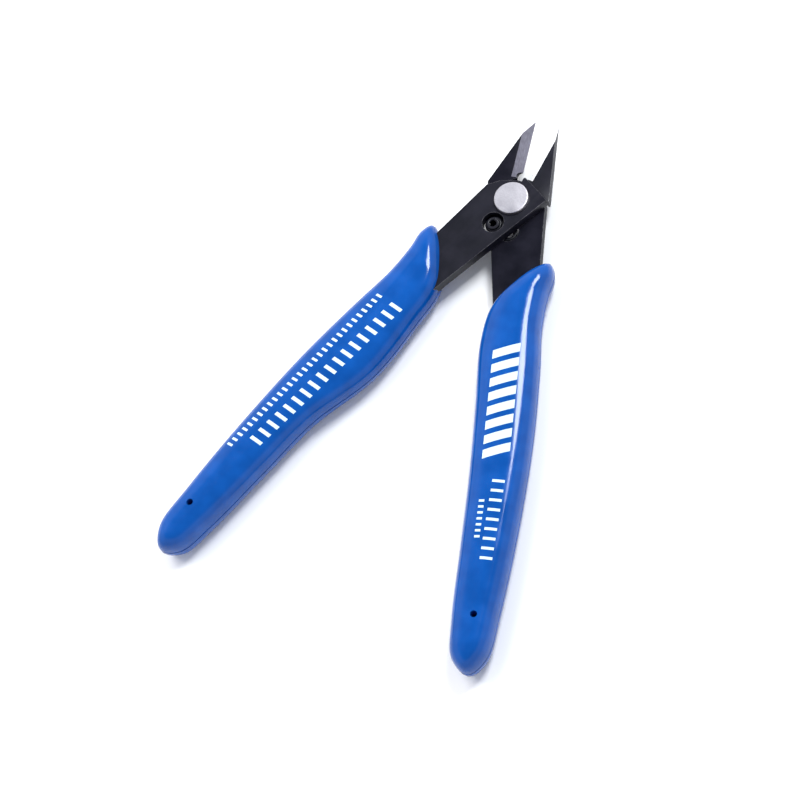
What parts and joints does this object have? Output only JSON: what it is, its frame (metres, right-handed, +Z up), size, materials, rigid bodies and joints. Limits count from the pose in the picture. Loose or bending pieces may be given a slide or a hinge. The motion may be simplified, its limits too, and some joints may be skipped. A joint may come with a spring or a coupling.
{
  "type": "flush cutter",
  "caption": "Small flush cutter: two riveted steel plates with ground jaws, a return spring in the plates and moulded plastic grips.",
  "frame": {"origin": "centre of the footprint, on the surface that the open tool lies on", "axes": "+Y from the handles to the jaws along the line midway between the handles, +Z up from the surface, along the rivet; +X to the right seen from above with the jaws pointing away"},
  "size_m": [0.0814, 0.1258, 0.0095],
  "materials": {
    "lower_lever": "black oxide",
    "right_grip": "moulded vinyl, glossy",
    "upper_lever": "black oxide",
    "left_grip": "moulded vinyl, glossy",
    "pivot_rivet": "bright, lightly polished",
    "rivet_washer": "bright, lightly polished",
    "return_spring": "black oxide"
  },
  "bodies": {
    "lower_half": {"lower_lever": "lower_lever", "right_grip": "right_grip", "pivot_rivet": "pivot_rivet", "rivet_washer": "rivet_washer"},
    "upper_half": {"upper_lever": "upper_lever", "left_grip": "left_grip", "return_spring": "return_spring"}
  },
  "joints": [
    {"name": "pivot", "type": "hinge", "parent": "lower_half", "child": "upper_half", "pos_m": [0, 0.04101, 0.00475], "axis": [0, 0, 1], "range_deg": [0, 14.9], "stiffness_Nm_per_rad": 0.35, "springref_deg": -14.32, "deforming": ["return_spring"]}
  ]
}
